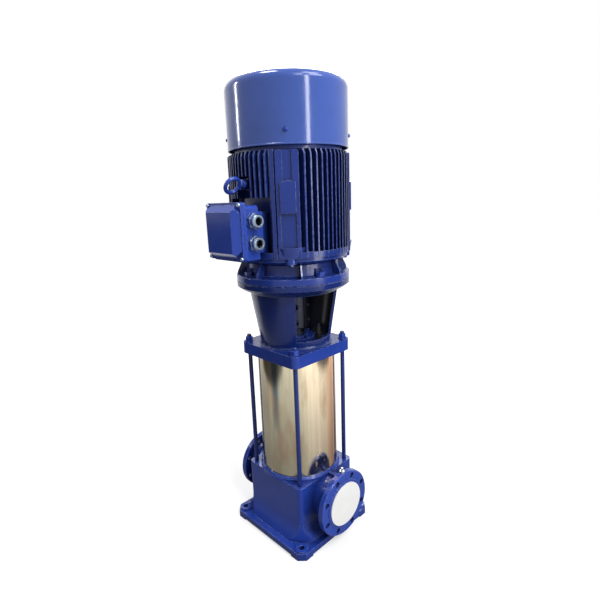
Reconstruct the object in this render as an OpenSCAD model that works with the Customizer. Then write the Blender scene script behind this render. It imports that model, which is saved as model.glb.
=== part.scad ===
/* [Base casting] */
// Half side of the square base plate
plate_half = 167; // [150:1:185]
// Corner chamfer of the base plate
plate_chamfer = 20; // [8:1:30]
// Thickness of the base plate over its corner feet
plate_t = 24; // [18:1:34]
// Height of the corner feet under the plate
foot_h = 5; // [3:1:8]
// Side of each corner foot
foot_side = 50; // [40:1:70]
// Half spacing of the base bolt holes
base_hole_half = 142; // [130:1:150]
// Diameter of the base bolt holes
base_hole_d = 18; // [14:1:24]
// Radius of the raised seat around each base hole
base_boss_r = 20; // [14:1:24]
// Height of the raised seat above the plate
base_boss_h = 6; // [2:1:10]
// Half side of the square body
body_half = 125; // [110:1:135]
// Vertical corner radius of the body
body_corner_r = 14; // [6:1:30]
// Height of the body's top face
body_top_z = 213; // [200:1:230]
// Radius of the round collar that holds the barrel
collar_r = 134; // [129:1:140]
// Height of the collar's outer edge
collar_edge_z = 221; // [216:1:228]
// Height of the collar's inner edge
collar_top_z = 227; // [222:1:236]
// Half side of the flare where the body meets the plate
flare_half = 147; // [135:1:152]
// Corner radius of the flare where it meets the plate
flare_corner_r = 79; // [60:1:90]
// Height where that flare ends
flare_top_z = 82; // [50:1:100]
// Height of the two port centres
port_z = 140; // [130:1:150]
// Distance from the axis to each port flange face
port_face_x = 200; // [185:1:215]
// Radius of the port flanges
port_flange_r = 106; // [100:0.5:112]
// Thickness of the port flanges
port_flange_t = 20; // [16:1:26]
// Radius of the raised sealing face
raised_r = 78; // [72:1:80]
// Height of the raised sealing face
raised_h = 2; // [1:0.5:4]
// Bore radius of the ports
port_bore_r = 50; // [40:1:60]
// Outer radius of the port necks
neck_r = 74; // [66:1:78]
// Bolt circle diameter of the port flanges
port_pcd = 180; // [160:1:190]
// Diameter of the port flange bolt holes
port_hole_d = 18; // [14:1:22]
// Number of bolt holes in each port flange
port_holes = 8; // [4:4:12]
// Height of the rib on top of each neck
neck_rib_z = 224; // [214:1:240]
// Thickness of that rib
neck_rib_t = 11; // [6:1:20]
// Radius of the annular discharge chamber
chamber_r = 110; // [100:1:114]
// Floor height of the chambers
chamber_z = 76; // [70:1:90]
// Outer radius of the central intake tube
intake_r = 60; // [56:1:70]

/* [Barrel and tie rods] */
// Outer radius of the stainless barrel
barrel_r = 126; // [120:0.5:128]
// Wall of the barrel
barrel_t = 3; // [2:0.5:5]
// Height of the barrel's lower edge
barrel_z0 = 216; // [214:1:220]
// Radius of each tie rod
rod_r = 7; // [5:0.5:9]
// Distance of each rod centre from the axis along X and Y
rod_xy = 106.6; // [100:0.2:112]
// How far each rod screws into the base
rod_depth = 26; // [16:1:40]
// Across flats of the tie rod nuts
rod_nut_af = 22; // [18:1:30]
// Height of the tie rod nuts
rod_nut_h = 13; // [8:1:18]
// Radius of the washers under the nuts
rod_washer_r = 14; // [12:0.5:18]
// Thickness of those washers
rod_washer_t = 2.5; // [1.5:0.5:4]
// Height of the rod end above the nut
rod_tip = 8; // [4:1:16]

/* [Motor stool] */
// Underside height of the square foot
head_z = 610; // [560:1:700]
// Thickness of the square foot
head_t = 37; // [28:1:44]
// Half side of the square foot
head_half = 127; // [120:1:134]
// Corner radius of the square foot
head_corner_r = 22; // [8:1:30]
// Radius of the shell at its foot
shell_r0 = 112.5; // [104:0.5:120]
// Radius of the shell at its neck
shell_r1 = 137.5; // [128:0.5:144]
// Wall of the shell
shell_t = 9; // [7:0.5:12]
// Height of the shell's neck
neck_z = 816; // [800:1:826]
// Underside height of the round top flange's rim
stool_flange_z = 838; // [830:1:844]
// Height of the joint between stool and motor
joint_z = 854; // [848:1:860]
// Radius of the joint flanges
flange_r = 175; // [165:1:185]
// Sill height of the two windows
sill_z = 672; // [662:1:690]
// Half angle of each window
window_half = 41.5; // [30:0.5:50]
// Radius of the register that centres the motor
register_r = 125; // [110:1:130]
// Depth of the register
register_h = 5; // [4:0.5:7]
// Distance of the joint bolts from the flange rim
joint_bolt_inset = 25; // [18:1:32]
// Angle of the first joint bolt
joint_bolt_a = 77.5; // [0:0.5:90]

/* [Motor] */
// How far the cooling fins stand past the joint flanges
fin_over = 2; // [0:0.5:6]
// Outer radius of the frame tube
tube_r = 148; // [144:0.5:160]
// Inner radius of the frame tube
tube_bore = 135; // [130:0.5:140]
// Height of the frame's lower end
frame_z0 = 932; // [926:1:940]
// Height of the frame's upper end
frame_z1 = 1220; // [1200:1:1240]
// Height of the plain ring under the fins
ring_h = 17; // [10:1:24]
// Thickness of the fins
fin_t = 3.6; // [3:0.5:6]
// Pitch of the fins on the two sides over the ports
fin_pitch = 15.9; // [12:0.1:20]
// Pitch of the fins on the two sides between them
fin_pitch_y = 15.2; // [12:0.1:20]
// Fins in each of the rows over the ports
fins_x = 12; // [8:2:14]
// Fins in each of the other two rows
fins_y = 11; // [7:2:13]
// Half width of the foot pads
pad_half = 31; // [24:0.5:38]
// How far the fan cowl stays inside the fins' outer radius
cowl_under = 0.5; // [0:0.5:6]
// Height of the cowl's lower edge
cowl_z0 = 1230; // [1222:1:1240]
// Height of the cowl's rim where its corner starts
cowl_z1 = 1389; // [1360:1:1400]
// Radius of the cowl's rounded corner
cowl_corner_r = 26; // [20:1:50]
// Wall of the cowl
cowl_t = 2; // [1.5:0.5:3]
// Height of the cowl screws
cowl_screw_z = 1266; // [1256:1:1276]

/* [Terminal box] */
// Half width of the box
box_half = 70; // [60:1:80]
// How far the box stands out past the fins
box_out = 63; // [55:1:72]
// Lower face of the box
box_z0 = 932; // [925:1:940]
// Upper face of the box
box_z1 = 1079; // [1060:1:1090]
// Wall of the box
box_wall = 6; // [4:0.5:8]
// Half width of the lid flange
lid_half = 76.5; // [70:0.5:84]
// Height of the raised part of the lid
lid_rise = 19; // [10:1:26]
// Bore radius of the cable glands
gland_bore = 11; // [8:0.5:13]
// Height of the upper gland
gland_z_hi = 1038; // [1030:1:1050]
// Height of the lower gland
gland_z_lo = 980; // [970:1:990]
// Distance of the glands behind the front edge of the box
gland_back = 36; // [28:1:44]

/* [Rotating parts] */
// Radius of the pump shaft
shaft_r = 17; // [14:0.5:20]
// Radius of the motor shaft's end
stub_r = 21; // [19:0.5:26]
// Number of pump stages
stages = 4; // [3:1:5]
// Radius of the impellers
impeller_r = 92; // [80:1:98]
// Radius of the coupling
coupling_r = 43; // [38:0.5:48]
// Lower end of the coupling
coupling_z0 = 692; // [686:1:700]
// Upper end of the coupling
coupling_z1 = 834; // [820:1:840]
// Gap between the two coupling halves
coupling_gap = 3; // [2:0.5:5]
// Radial clearance of the running fits
run_gap = 0.05; // [0.02:0.01:0.1]
// Radial clearance where parts are bolted together
bolt_gap = 0.1; // [0.05:0.05:0.5]

/* [Hidden] */
eps = 1;
blue = [0.13, 0.2, 0.58];
steel = [0.62, 0.63, 0.65];
stainless = [0.78, 0.76, 0.7];
dark = [0.12, 0.12, 0.13];
white = [0.93, 0.93, 0.92];
copper = [0.72, 0.42, 0.22];
iron = [0.4, 0.41, 0.43];
root3 = sqrt(3);
head_top = head_z + head_t;
rod_pts = [[1, 1], [1, -1], [-1, 1], [-1, -1]];
stage_z0 = 236;
stage_h = 88;
stack_top = stage_z0 + stages * stage_h;
stack_r = 111;
diag = 45;
fin_r = flange_r + fin_over;
pad_face = fin_r;
cowl_r = fin_r - cowl_under;
joint_bolt_r = flange_r - joint_bolt_inset;
box_front = fin_r + box_out;
gland_y = box_front - gland_back;
ball_r = 6.9;
ball_pitch_r = 40;
drive_bearing_z = 866;
fan_bearing_z = 1228;
bearing_h = 26;

module hexp(af, h) {
    cylinder(h = h, r = af / root3, $fn = 6);
}

module prism(ax, ay, h, r) {
    translate([r - ax, -ay, 0]) cube([2 * (ax - r), 2 * ay, h]);
    translate([-ax, r - ay, 0]) cube([2 * ax, 2 * (ay - r), h]);
    for (sx = [-1, 1]) for (sy = [-1, 1])
        translate([sx * (ax - r), sy * (ay - r), 0]) cylinder(h = h, r = r, $fn = 64);
}

module ring(r0, r1, h) {
    difference() {
        cylinder(h = h, r = r1, $fn = 128);
        translate([0, 0, -eps]) cylinder(h = h + 2 * eps, r = r0, $fn = 128);
    }
}

module along_x(x, y, z) {
    translate([x, y, z]) rotate([0, 90, 0]) children();
}

module along_y_out(x, y, z) {
    translate([x, y, z]) rotate([90, 0, 0]) children();
}

module at_rods(z) {
    for (p = rod_pts) translate([p[0] * rod_xy, p[1] * rod_xy, z]) children();
}

// Base casting: plate on four feet, square body, collar, two flanged ports and the chambers inside
plate_pts = [[plate_half, plate_half - plate_chamfer], [plate_half - plate_chamfer, plate_half],
    [plate_chamfer - plate_half, plate_half], [-plate_half, plate_half - plate_chamfer],
    [-plate_half, plate_chamfer - plate_half], [plate_chamfer - plate_half, -plate_half],
    [plate_half - plate_chamfer, -plate_half], [plate_half, plate_chamfer - plate_half]];
flare_steps = 10;
flare_h = flare_top_z - plate_t;
flare_bend = 1.7;
flange_edge = 2.5;
hub_len = 12;
corner_c = body_half - body_corner_r;
flare_c = flare_half - flare_corner_r;
flare_top_r = (corner_c - flare_c) * sqrt(2) + body_corner_r;

function flare_at(lo, hi) = [for (i = [0:flare_steps])
    [lo + (hi - lo) * pow(1 - i / flare_steps, flare_bend), plate_t + flare_h * i / flare_steps]];

// Flare of the body's foot: straight along each side and round at the corners
module foot_flare() {
    side = flare_at(body_half, flare_half);
    corner = flare_at(flare_top_r, flare_corner_r);
    other = [for (i = [flare_steps:-1:0]) [-side[i][0], side[i][1]]];
    intersection() {
        translate([0, plate_half, 0]) rotate([90, 0, 0]) linear_extrude(2 * plate_half)
            polygon(concat([[-flare_half, plate_t - eps], [flare_half, plate_t - eps]], side, other));
        rotate([0, 0, 90]) translate([0, plate_half, 0]) rotate([90, 0, 0]) linear_extrude(2 * plate_half)
            polygon(concat([[-flare_half, plate_t - eps], [flare_half, plate_t - eps]], side, other));
        union() {
            translate([-flare_c, -plate_half, 0]) cube([2 * flare_c, 2 * plate_half, flare_top_z]);
            translate([-plate_half, -flare_c, 0]) cube([2 * plate_half, 2 * flare_c, flare_top_z]);
            for (p = rod_pts) translate([p[0] * flare_c, p[1] * flare_c, 0]) rotate_extrude($fn = 128)
                polygon(concat([[0, plate_t - eps], [flare_corner_r, plate_t - eps]], corner, [[0, flare_top_z]]));
        }
    }
}

spigot_r = port_bore_r + 12;
spigot_x = chamber_r + 2;

module port_solid(s) {
    translate([0, 0, port_z]) rotate([0, s * 90, 0]) {
        translate([0, 0, body_half]) cylinder(h = port_face_x - port_flange_t + eps - body_half, r = neck_r, $fn = 128);
        // spigot that enters the body's wall
        translate([0, 0, spigot_x]) cylinder(h = body_half - spigot_x + 1, r = spigot_r, $fn = 128);
        translate([0, 0, port_face_x - port_flange_t - hub_len])
            cylinder(h = hub_len, r1 = neck_r, r2 = neck_r + 4, $fn = 128);
        translate([0, 0, port_face_x - port_flange_t]) rotate_extrude($fn = 128)
            polygon([[0, 0], [port_flange_r - flange_edge, 0], [port_flange_r, flange_edge],
                [port_flange_r, port_flange_t - flange_edge],
                [port_flange_r - flange_edge, port_flange_t], [0, port_flange_t]]);
        translate([0, 0, port_face_x - eps]) cylinder(h = raised_h + eps, r = raised_r, $fn = 128);
    }
    rib_len = port_face_x - port_flange_t - body_half + 2;
    translate([s > 0 ? body_half : -body_half - rib_len, -neck_rib_t / 2, port_z])
        cube([rib_len, neck_rib_t, neck_rib_z - port_z]);
}

module port_cuts(s) {
    translate([0, 0, port_z]) rotate([0, s * 90, 0])
        for (k = [0:port_holes - 1]) rotate([0, 0, (k + 0.5) * 360 / port_holes])
            translate([port_pcd / 2, 0, port_face_x - port_flange_t - hub_len])
                cylinder(h = port_flange_t + hub_len + raised_h + eps, d = port_hole_d, $fn = 48);
}

module base_casting() {
    color(blue) difference() {
        union() {
            difference() {
                linear_extrude(plate_t) polygon(plate_pts);
                inner = plate_half - foot_side;
                translate([-inner, -plate_half - eps, -eps])
                    cube([2 * inner, 2 * (plate_half + eps), foot_h + eps]);
                translate([-plate_half - eps, -inner, -eps])
                    cube([2 * (plate_half + eps), 2 * inner, foot_h + eps]);
            }
            for (p = rod_pts) translate([p[0] * base_hole_half, p[1] * base_hole_half, 0])
                translate([0, 0, foot_h]) cylinder(h = plate_t - foot_h + base_boss_h, r = base_boss_r, $fn = 64);
            translate([0, 0, foot_h + 2]) prism(body_half, body_half, body_top_z - foot_h - 2, body_corner_r);
            foot_flare();
            rotate_extrude($fn = 128) polygon([[0, body_top_z - 12], [collar_r - 5, body_top_z - 12],
                [collar_r, body_top_z - 6], [collar_r, collar_edge_z], [collar_r - 5, collar_top_z],
                [0, collar_top_z]]);
        }
        // seat of the barrel and the annular chamber around the intake tube
        translate([0, 0, barrel_z0 - 2]) cylinder(h = 40, r = barrel_r + bolt_gap, $fn = 128);
        difference() {
            translate([0, 0, chamber_z]) cylinder(h = 200, r = chamber_r, $fn = 128);
            translate([0, 0, chamber_z - eps]) cylinder(h = barrel_z0 - 2 - chamber_z + eps, r = intake_r, $fn = 96);
            along_x(-chamber_r - eps, 0, port_z) cylinder(h = chamber_r + eps, r = port_bore_r + 8, $fn = 96);
        }
        translate([0, 0, chamber_z + 14]) cylinder(h = 200, r = port_bore_r - 2, $fn = 96);
        along_x(-port_face_x - raised_h - eps, 0, port_z)
            cylinder(h = port_face_x + raised_h + eps, r = port_bore_r, $fn = 96);
        along_x(intake_r + 12, 0, port_z)
            cylinder(h = port_face_x + raised_h + eps - intake_r - 12, r = port_bore_r, $fn = 96);
        // seats of the two port necks in the walls and in the flare
        for (t = [-1, 1]) translate([0, 0, port_z]) rotate([0, t * 90, 0]) {
            translate([0, 0, spigot_x]) cylinder(h = plate_half, r = spigot_r, $fn = 128);
            translate([0, 0, body_half]) cylinder(h = plate_half, r = neck_r, $fn = 128);
        }
        for (p = rod_pts) translate([p[0] * base_hole_half, p[1] * base_hole_half, -eps])
            cylinder(h = plate_t + base_boss_h + 2 * eps, d = base_hole_d, $fn = 48);
        at_rods(body_top_z - rod_depth) cylinder(h = rod_depth + 40, r = rod_r + bolt_gap, $fn = 48);
        // drain hole at the back
        along_y_out(0, body_half + eps, chamber_z + 20) cylinder(h = 30, r = drain_r + bolt_gap, $fn = 48);
    }
}

module port_flange(s) {
    difference() {
        port_solid(s);
        translate([0, 0, port_z]) rotate([0, s * 90, 0]) translate([0, 0, spigot_x - eps])
            cylinder(h = port_face_x + raised_h - spigot_x + 2 * eps, r = port_bore_r, $fn = 96);
        port_cuts(s);
        translate([0, 0, body_top_z - 13]) cylinder(h = 60, r = collar_r + 0.05, $fn = 128);
        if (s > 0) translate([gauge_x, 0, port_z + port_flange_r - gauge_depth])
            cylinder(h = gauge_depth + 10, r = gauge_r + bolt_gap, $fn = 48);
    }
}

module outlet_flange() {
    color(blue) port_flange(1);
}

module inlet_flange() {
    color(blue) port_flange(-1);
}

// Plug of the gauge tapping on top of the outlet flange's rim
gauge_r = 5;
gauge_depth = 14;
gauge_x = port_face_x - port_flange_t / 2;

module gauge_plug() {
    color(white) translate([gauge_x, 0, port_z + port_flange_r]) {
        translate([0, 0, 1 - gauge_depth]) cylinder(h = gauge_depth, r = gauge_r, $fn = 48);
        hexp(15, 6);
        cylinder(h = 16, r = 3.6, $fn = 48);
    }
}

drain_r = 10;
drain_z = chamber_z + 20;

module drain_plug() {
    color(steel) {
        along_y_out(0, body_half, drain_z) cylinder(h = 14, r = drain_r, $fn = 48);
        along_y_out(0, body_half + 4, drain_z) cylinder(h = 4, r = drain_r + 5, $fn = 64);
        along_y_out(0, body_half + 12, drain_z) hexp(19, 8);
    }
}

module barrel() {
    color(stainless) translate([0, 0, barrel_z0])
        ring(barrel_r - barrel_t, barrel_r, head_z - 1.5 - barrel_z0);
}

module barrel_gaskets() {
    color(dark) {
        translate([0, 0, barrel_z0 - 2]) ring(barrel_r - barrel_t - 3, barrel_r, 2);
        translate([0, 0, head_z - 1.5]) ring(barrel_r - barrel_t, barrel_r - 0.4, 1.5);
    }
}

// Tie rods, washers and nuts at the four corners
module tie_rods() {
    z0 = body_top_z - rod_depth;
    z1 = head_top + rod_washer_t + rod_nut_h;
    color(blue) at_rods(z0) {
        cylinder(h = z1 - z0 + rod_tip - 2, r = rod_r, $fn = 48);
        translate([0, 0, z1 - z0 + rod_tip - 2]) cylinder(h = 2, r1 = rod_r, r2 = rod_r - 2, $fn = 48);
    }
}

module tie_washers() {
    color(blue) at_rods(head_top) ring(rod_r + bolt_gap, rod_washer_r, rod_washer_t);
}

module tie_nuts() {
    color(blue) at_rods(head_top + rod_washer_t) difference() {
        intersection() {
            rotate([0, 0, 15]) hexp(rod_nut_af, rod_nut_h);
            rotate_extrude($fn = 64) polygon([[0, -eps], [rod_nut_af / root3 + 1, -eps],
                [rod_nut_af / root3 + 1, rod_nut_h - 2], [rod_nut_af / 2 - 0.6, rod_nut_h],
                [0, rod_nut_h]]);
        }
        translate([0, 0, -eps]) cylinder(h = rod_nut_h + 2 * eps, r = rod_r + bolt_gap, $fn = 48);
    }
}

// Motor stool: square foot, tapered shell with two windows and the round top flange
stool_hole_r = 100;
ledge_r = 118;
ledge_z = 828;

module motor_stool() {
    color(blue) difference() {
        union() {
            translate([0, 0, head_z]) prism(head_half, head_half, head_t, head_corner_r);
            rotate_extrude($fn = 128) polygon([[0, head_z + eps], [shell_r0 + 6, head_z + eps],
                [shell_r0 + 6, head_top], [shell_r0 + 1.5, head_top + 3], [shell_r0, head_top + 8],
                [shell_r1, neck_z], [shell_r1 + 2.5, neck_z + 3], [flange_r - 11, stool_flange_z - 9],
                [flange_r, stool_flange_z], [flange_r, joint_z - 1.5], [flange_r - 1.5, joint_z], [0, joint_z]]);
        }
        translate([0, 0, head_z - eps]) cylinder(h = head_t + 2 * eps, r = stool_hole_r + bolt_gap, $fn = 128);
        rotate_extrude($fn = 128) polygon([[0, head_z + head_t - 6], [shell_r0 - shell_t, head_z + head_t - 6],
            [shell_r0 - shell_t, head_top + 8], [shell_r1 - shell_t, neck_z], [ledge_r, ledge_z],
            [ledge_r, joint_z + eps], [0, joint_z + eps]]);
        translate([0, 0, joint_z - register_h - 1]) cylinder(h = 20, r = register_r + bolt_gap, $fn = 128);
        intersection() {
            for (s = [-1, 1]) translate([0, 0, sill_z]) linear_extrude(neck_z - sill_z)
                polygon([[0, 0], [s * 400, 400 * tan(window_half)], [s * 400, -400 * tan(window_half)]]);
            translate([0, 0, sill_z - eps]) cylinder(h = 400, r = shell_r1 + 2, $fn = 128);
        }
        at_rods(head_z - eps) cylinder(h = head_t + 2 * eps, r = rod_r + 0.5, $fn = 48);
        for (k = [0:3]) rotate([0, 0, joint_bolt_a + 90 * k]) translate([0, -joint_bolt_r, stool_flange_z - 12])
            cylinder(h = 40, r = joint_bolt_shank + bolt_gap, $fn = 48);
    }
}

joint_bolt_shank = 8;
joint_flange_t = 20;

// Pump head: round casting inside the stool that closes the barrel and carries the shaft seal
head_disc_z = head_z + 22;
seal_boss_r = 64;
seal_boss_z = 655;
vent_x = 38;
vent_y = 67;

module pump_head() {
    color(blue) difference() {
        rotate_extrude($fn = 128) polygon([[30, stack_top], [barrel_r - barrel_t - 0.3, stack_top],
            [barrel_r - barrel_t - 0.3, head_z], [stool_hole_r, head_z], [stool_hole_r, head_top - 6],
            [seal_boss_r + 6, head_top - 4], [seal_boss_r, head_top], [seal_boss_r, seal_boss_z],
            [30, seal_boss_z]]);
        // return path from the last stage to the space around the stages
        rotate_extrude($fn = 128) polygon([[34, stack_top - eps], [112, stack_top - eps],
            [112, stack_top + 12], [34, stack_top + 30]]);
        translate([vent_x, vent_y, head_top - 26]) cylinder(h = 40, r = 6 + bolt_gap, $fn = 48);
        for (k = [0:3]) rotate([0, 0, 90 * k]) translate([gland_bolt_r, 0, seal_boss_z - 16])
            cylinder(h = 30, r = 4 + bolt_gap, $fn = 32);
    }
}

gland_bolt_r = 52;
gland_top_z = 668;

module seal_gland() {
    color(steel) difference() {
        union() {
            translate([0, 0, seal_boss_z]) cylinder(h = gland_top_z - seal_boss_z - 4, r = seal_boss_r - 2, $fn = 96);
            translate([0, 0, seal_boss_z]) cylinder(h = gland_top_z - seal_boss_z, r = 40, $fn = 96);
            translate([0, 0, seal_boss_z - 12]) cylinder(h = 12, r = 30 - bolt_gap, $fn = 96);
        }
        translate([0, 0, seal_boss_z - 20]) cylinder(h = 60, r = shaft_r + 5, $fn = 96);
        for (k = [0:3]) rotate([0, 0, 90 * k]) translate([gland_bolt_r, 0, seal_boss_z - eps])
            cylinder(h = 30, r = 4 + bolt_gap, $fn = 32);
    }
}

module seal_gland_bolts() {
    color(steel) for (k = [0:3]) rotate([0, 0, 90 * k]) translate([gland_bolt_r, 0, gland_top_z - 4]) {
        translate([0, 0, -24]) cylinder(h = 24, r = 4, $fn = 32);
        hexp(13, 5.5);
    }
}

module vent_plug() {
    color(dark) translate([vent_x, vent_y, 0]) difference() {
        union() {
            translate([0, 0, head_top - 22]) cylinder(h = 30, r = 6, $fn = 48);
            translate([0, 0, head_top + 0.5]) rotate([0, 0, 10]) hexp(21, 16.5);
            translate([0, 0, head_top + 17]) cylinder(h = 16, r = 9, $fn = 48);
        }
        translate([0, 0, head_top + 15]) cylinder(h = 30, r = 4 + run_gap, $fn = 48);
    }
}

module vent_screw() {
    color(steel) translate([vent_x, vent_y, 0]) {
        translate([0, 0, head_top + 15.5]) cylinder(h = 22, r = 4, $fn = 48);
        difference() {
            translate([0, 0, head_top + 33.5]) cylinder(h = 12, r = 8, $fn = 48);
            translate([-10, -1, head_top + 42]) cube([20, 2, 6]);
        }
    }
}

// Stages: intake bowl, chambers with guide vanes, lower bearing
bush_r = 30;
sleeve_r = 24;
eye_r = 44;
wear_gap = 0.4;
shell_wall = 3;

module intake_bowl() {
    color(iron) {
        difference() {
            union() {
                translate([0, 0, barrel_z0 - 2]) ring(port_bore_r - 1, intake_r + 8, 8);
                rotate_extrude($fn = 96) polygon([[port_bore_r - 1, barrel_z0 + 6 - 1], [intake_r + 8, barrel_z0 + 6 - 1],
                    [stack_r, stage_z0 - 3], [stack_r, stage_z0], [eye_r + 8, stage_z0], [port_bore_r - 1, barrel_z0 + 12]]);
            }
        }
        // spider that holds the lower bearing
        difference() {
            for (a = [0:120:240]) rotate([0, 0, a]) translate([bush_r - 1, -3, barrel_z0 - 2])
                cube([port_bore_r - bush_r + 2, 6, 7]);
            translate([0, 0, barrel_z0 - 4]) cylinder(h = 20, r = bush_r + 2, $fn = 96);
        }
        translate([0, 0, barrel_z0 - 2]) ring(bush_r + bolt_gap, bush_r + 5, 16);
    }
}

module lower_bearing() {
    color(dark) translate([0, 0, barrel_z0 - 2]) ring(sleeve_r + run_gap, bush_r, 16);
}

module stage_chambers() {
    color(iron) for (k = [0:stages - 1]) translate([0, 0, stage_z0 + k * stage_h])
        rotate_extrude($fn = 128) polygon([[eye_r + 3 + wear_gap, 0], [stack_r, 0], [stack_r, stage_h],
            [stack_r - shell_wall, stage_h], [stack_r - shell_wall, 4], [eye_r + 3 + wear_gap, 4]]);
}

module guide_vanes() {
    color(iron) for (k = [0:stages - 1]) translate([0, 0, stage_z0 + k * stage_h]) {
        translate([0, 0, 60]) ring(sleeve_r + 2, impeller_r + 6, 4);
        for (i = [0:7]) rotate([0, 0, 45 * i]) translate([eye_r + 6, -2, 63])
            cube([stack_r - shell_wall - eye_r - 6.5, 4, stage_h - 64]);
    }
}

module impellers() {
    color(stainless) for (k = [0:stages - 1]) translate([0, 0, stage_z0 + k * stage_h]) {
        rotate_extrude($fn = 128) polygon([[shaft_r + bolt_gap, 12], [sleeve_r, 12], [sleeve_r + 4, 40],
            [impeller_r, 46], [impeller_r, 49], [sleeve_r, 49], [sleeve_r, 56], [shaft_r + bolt_gap, 56]]);
        rotate_extrude($fn = 128) polygon([[eye_r, -6], [eye_r + 3, -6], [eye_r + 3, 18], [impeller_r, 28],
            [impeller_r, 31], [eye_r, 21]]);
        intersection() {
            for (i = [0:5]) rotate([0, 0, 60 * i]) translate([0, -44, 0]) linear_extrude(60) difference() {
                circle(r = 62, $fn = 96);
                circle(r = 59, $fn = 96);
                translate([-70, -70]) square([140, 70]);
                translate([-70, -70]) square([72, 140]);
            }
            rotate_extrude($fn = 96) polygon([[eye_r - 6, 20], [eye_r, 20], [impeller_r - 0.5, 30],
                [impeller_r - 0.5, 46.5], [sleeve_r + 6, 42], [eye_r - 6, 42]]);
        }
    }
}

module shaft_sleeves() {
    color(stainless) {
        translate([0, 0, barrel_z0 - 4]) ring(shaft_r + bolt_gap, sleeve_r, stage_z0 + 12 - barrel_z0 + 4);
        for (k = [0:stages - 1]) translate([0, 0, stage_z0 + k * stage_h + 56])
            ring(shaft_r + bolt_gap, sleeve_r, k == stages - 1 ? 60 : stage_h - 44);
    }
}

module shaft_nut() {
    color(steel) translate([0, 0, barrel_z0 - 18]) difference() {
        hexp(40, 14);
        translate([0, 0, -eps]) cylinder(h = 16, r = shaft_r - 3 + bolt_gap, $fn = 64);
    }
}

module pump_shaft() {
    color(steel) {
        translate([0, 0, barrel_z0 - 24]) cylinder(h = 22, r = shaft_r - 3, $fn = 64);
        translate([0, 0, barrel_z0 - 4]) cylinder(h = shaft_top - barrel_z0 + 4, r = shaft_r, $fn = 64);
    }
}

shaft_top = 740;
stub_z = 746;

module seal_head() {
    color(steel) {
        translate([0, 0, gland_top_z + 0.4]) ring(shaft_r + bolt_gap, 30, 10);
        translate([0, 0, gland_top_z + 10.4]) ring(shaft_r + bolt_gap, 26, 10);
    }
}

// Coupling: two half shells clamped on both shafts
module coupling_half(s) {
    difference() {
        intersection() {
            rotate_extrude($fn = 96) polygon([[0, coupling_z0], [coupling_r - 3, coupling_z0],
                [coupling_r, coupling_z0 + 3], [coupling_r, coupling_z1 - 3],
                [coupling_r - 3, coupling_z1], [0, coupling_z1]]);
            translate([-60, s > 0 ? coupling_gap / 2 : -60, coupling_z0 - eps])
                cube([120, 60 - coupling_gap / 2, coupling_z1 - coupling_z0 + 2 * eps]);
        }
        translate([0, 0, coupling_z0 - eps]) cylinder(h = 55, r = shaft_r + bolt_gap, $fn = 64);
        translate([0, 0, coupling_z0 + 50]) cylinder(h = 120, r = stub_r + bolt_gap, $fn = 64);
        for (z = coupling_bolt_zs) for (x = [-coupling_bolt_x, coupling_bolt_x]) {
            along_y_out(x, 60, z) cylinder(h = 120, r = 5 + bolt_gap, $fn = 32);
            along_y_out(x, 60, z) cylinder(h = 60 - 20, r = 9, $fn = 32);
            along_y_out(x, -20, z) cylinder(h = 40, r = 9.5, $fn = 32);
        }
    }
}

coupling_bolt_zs = [714, 763, 812];
coupling_bolt_x = 31;

module coupling_half_a() {
    color(iron) coupling_half(1);
}

module coupling_half_b() {
    color(iron) coupling_half(-1);
}

module coupling_bolts() {
    color(steel) for (z = coupling_bolt_zs) for (x = [-coupling_bolt_x, coupling_bolt_x]) {
        along_y_out(x, 20, z) cylinder(h = 46, r = 5, $fn = 32);
        along_y_out(x, 28, z) difference() {
            cylinder(h = 8, r = 8, $fn = 32);
            translate([0, 0, -eps]) hexp(8, 6);
        }
        along_y_out(x, -20, z) hexp(16, 6);
    }
}

// Motor: drive end shield, frame, fan end shield
rib_a0 = 10;
ribs = 8;
bell_r = 148;
bearing_r = 55;
ring_r = flange_r - 5;
lug_r = flange_r - 15;
shield_bolt_s = 5;

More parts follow.
